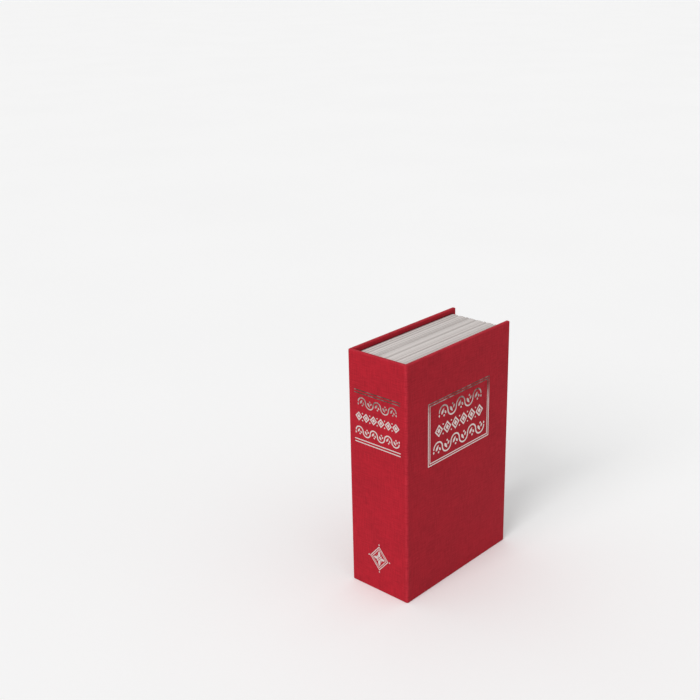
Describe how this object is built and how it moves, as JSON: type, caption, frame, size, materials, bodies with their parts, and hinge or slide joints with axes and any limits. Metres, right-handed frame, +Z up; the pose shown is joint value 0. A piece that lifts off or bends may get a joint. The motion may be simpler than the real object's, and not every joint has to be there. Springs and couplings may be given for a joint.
{
  "type": "book diversion safe",
  "caption": "Hardback-book disguise with a hinged cover over a folded steel cash box whose lid swings on a rolled hinge and locks with a small key cam lock.",
  "frame": {"origin": "middle of the footprint, on the surface that the book stands on", "axes": "+Z up the height of the book, +X from the spine to the fore-edge, +Y from the front cover to the back cover"},
  "size_m": [0.117, 0.052, 0.18],
  "materials": {
    "book_cloth": "matt red linen-finish book cloth with silver foil rules",
    "greyboard": "raw greyboard",
    "endpaper": "plain red paper",
    "page_plastic": "satin off-white moulding",
    "black_steel": "fine black powder coat",
    "zinc_steel": "bright zinc plate",
    "chrome": "polished",
    "brass": "stamped",
    "key_steel": "nickel plate"
  },
  "bodies": {
    "case": {"spine_and_back_cloth": "book_cloth", "spine_board": "greyboard", "back_board": "greyboard", "back_endpaper": "endpaper", "page_frame": "page_plastic", "box_tray": "black_steel", "hinge_leaf": "black_steel", "hinge_pin": "zinc_steel", "strike_bracket": "black_steel", "tray_rivet_1": "zinc_steel", "tray_rivet_2": "zinc_steel", "tray_rivet_3": "zinc_steel", "tray_rivet_4": "zinc_steel", "key_1": "key_steel", "key_2": "key_steel", "key_ring": "key_steel"},
    "front_cover": {"front_cover_cloth": "book_cloth", "front_board": "greyboard", "front_endpaper": "endpaper"},
    "lid": {"box_lid": "black_steel", "lock_housing": "chrome", "lock_washer": "zinc_steel", "lock_nut": "zinc_steel"},
    "lock_core": {"lock_plug": "zinc_steel", "lock_wafer_1": "brass", "lock_wafer_2": "brass", "lock_wafer_3": "brass", "lock_wafer_4": "brass", "lock_cam": "zinc_steel", "cam_screw": "zinc_steel"}
  },
  "joints": [
    {"name": "cover_hinge", "type": "hinge", "parent": "case", "child": "front_cover", "pos_m": [-0.0585, -0.026, 0.09], "axis": [0, 0, -1], "range_deg": [0, 180]},
    {"name": "lid_hinge", "type": "hinge", "parent": "case", "child": "lid", "pos_m": [-0.0488, -0.0184, 0.09], "axis": [0, 0, -1], "range_deg": [0, 100]},
    {"name": "lock_turn", "type": "hinge", "parent": "lid", "child": "lock_core", "pos_m": [0.0278, -0.0201, 0.09], "axis": [0, 1, 0], "range_deg": [0, 90]}
  ],
  "couplings": [
    {"joint": "lid_hinge", "follows": "cover_hinge", "ratio": 0.55}
  ]
}
